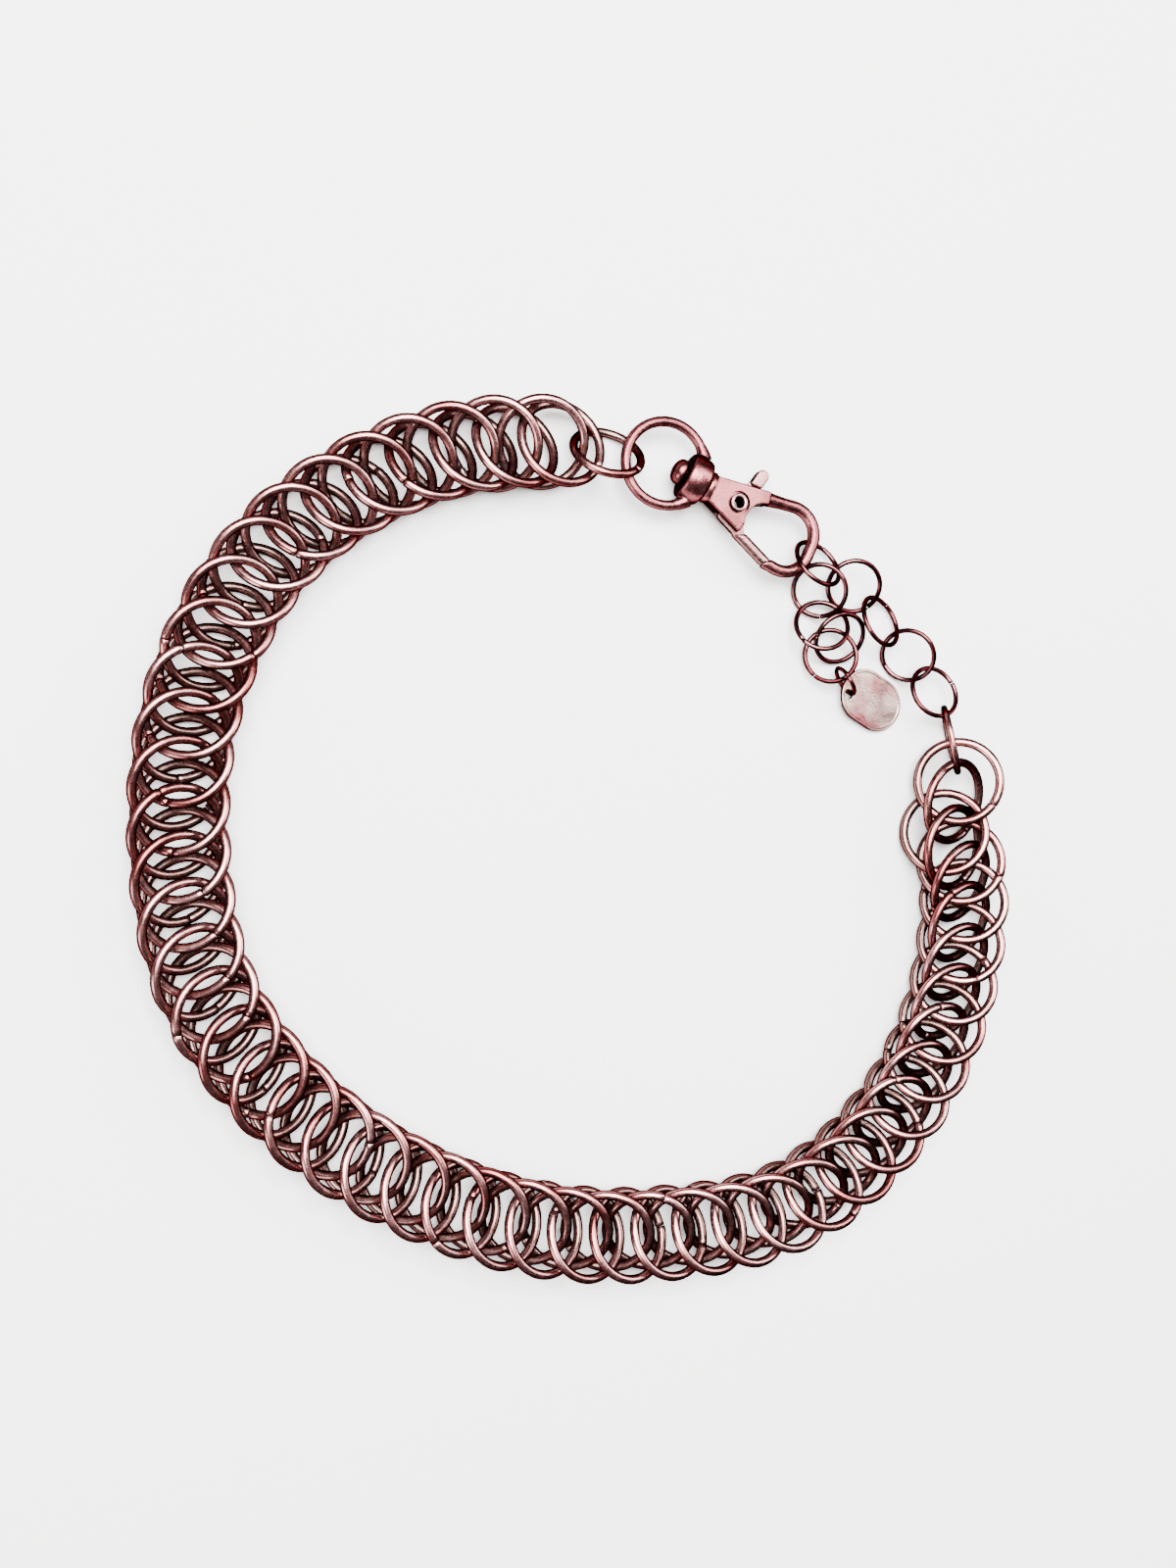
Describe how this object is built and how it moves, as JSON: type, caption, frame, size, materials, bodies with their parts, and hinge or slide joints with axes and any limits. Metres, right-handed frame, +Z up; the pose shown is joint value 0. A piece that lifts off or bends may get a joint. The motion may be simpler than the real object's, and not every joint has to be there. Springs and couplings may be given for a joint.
{
  "type": "chainmail choker",
  "caption": "Choker of interlinked jump rings, closed by a swivel lobster clasp hooked into a short extension chain that ends in a small plain tag.",
  "frame": {"origin": "on the surface that the choker lies on, below the middle of its bounding box", "axes": "+Z up from the surface, +X to the picture's right, +Y to the picture's top, towards the clasp"},
  "size_m": [0.1517, 0.1473, 0.0115],
  "materials": {
    "band_wire": "bright drawn wire, lightly tumbled",
    "chain_wire": "bright drawn wire",
    "clasp_metal": "satin cast metal",
    "lever_metal": "satin",
    "rivet_metal": "satin",
    "tag_plate": "polished sheet with a rolled edge"
  },
  "bodies": {
    "root": {"band": "band_wire", "clasp_link": "chain_wire", "hook_body": "clasp_metal", "lever_rivet": "rivet_metal", "end_link": "chain_wire", "link_01": "chain_wire", "link_02": "chain_wire", "link_03": "chain_wire", "link_04": "chain_wire", "link_05": "chain_wire", "link_06": "chain_wire", "link_07": "chain_wire", "link_08": "chain_wire", "link_09": "chain_wire", "tag_link": "chain_wire", "tag": "tag_plate"},
    "eye": {"swivel_eye": "clasp_metal"},
    "lever": {"clasp_lever": "lever_metal"}
  },
  "joints": [
    {"name": "eye_swivel", "type": "hinge", "parent": "root", "child": "eye", "pos_m": [0.01138, 0.06391, 0.0043], "axis": [0.9063, -0.4226, 0], "range_deg": [-14, 14]},
    {"name": "lever_pivot", "type": "hinge", "parent": "root", "child": "lever", "pos_m": [0.02417, 0.05773, 0.0043], "axis": [0, 0, 1], "range_deg": [0, 22], "stiffness_Nm_per_rad": 0.005}
  ]
}
